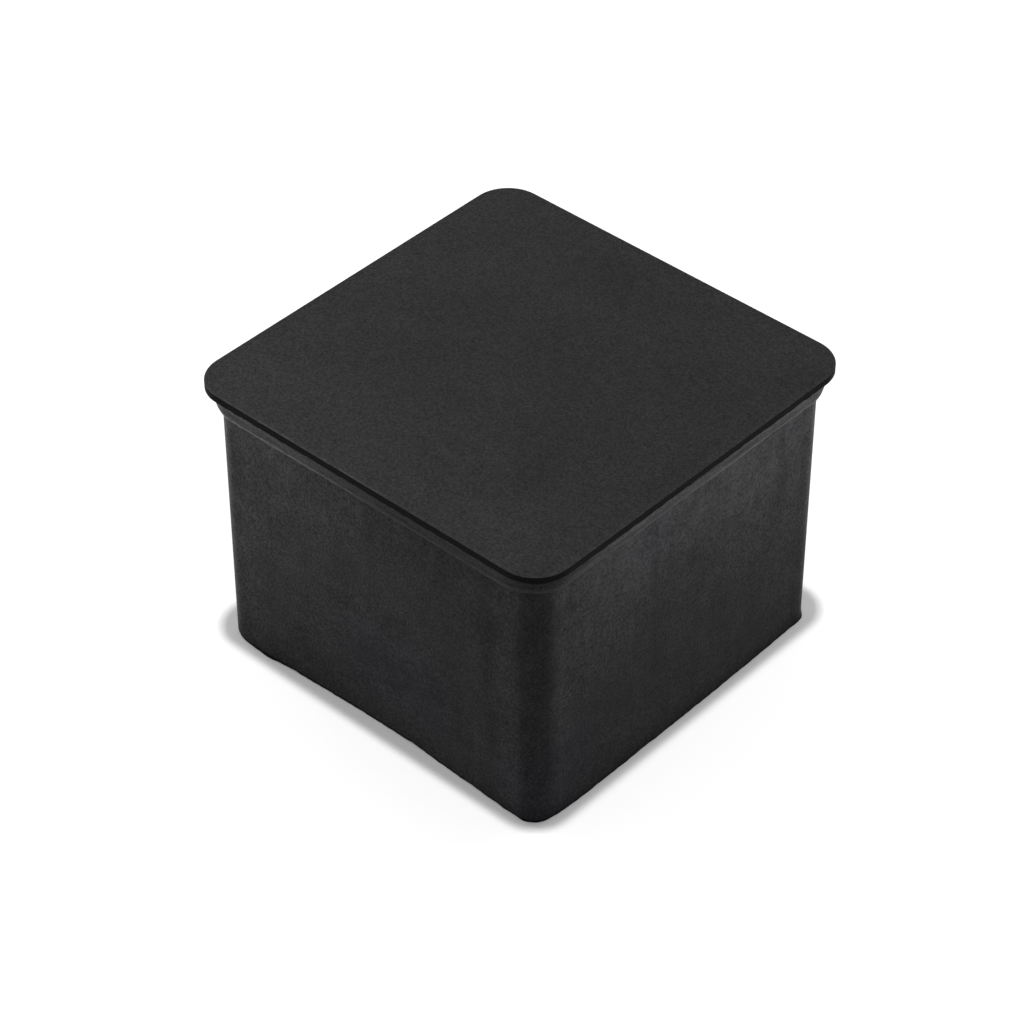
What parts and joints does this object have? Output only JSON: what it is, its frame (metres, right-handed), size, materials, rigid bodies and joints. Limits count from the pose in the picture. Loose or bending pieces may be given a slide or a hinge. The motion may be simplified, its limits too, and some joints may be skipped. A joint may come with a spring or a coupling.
{
  "type": "rubber foot for square tube",
  "caption": "Slip-over black rubber foot for a square tube: a flat flanged sole with rounded corners over a straight square sleeve.",
  "frame": {"origin": "on the centre line, in the plane of the sleeve's mouth that the foot stands on in the picture", "axes": "+Z along the centre line from the mouth of the sleeve to the sole face, +X and +Y square to the sleeve's flats"},
  "size_m": [0.06, 0.06, 0.0435],
  "materials": {
    "rubber": "matte moulded black rubber with a fine grain and a faint grey bloom"
  },
  "bodies": {
    "root": {"rubber_foot": "rubber"}
  },
  "joints": []
}
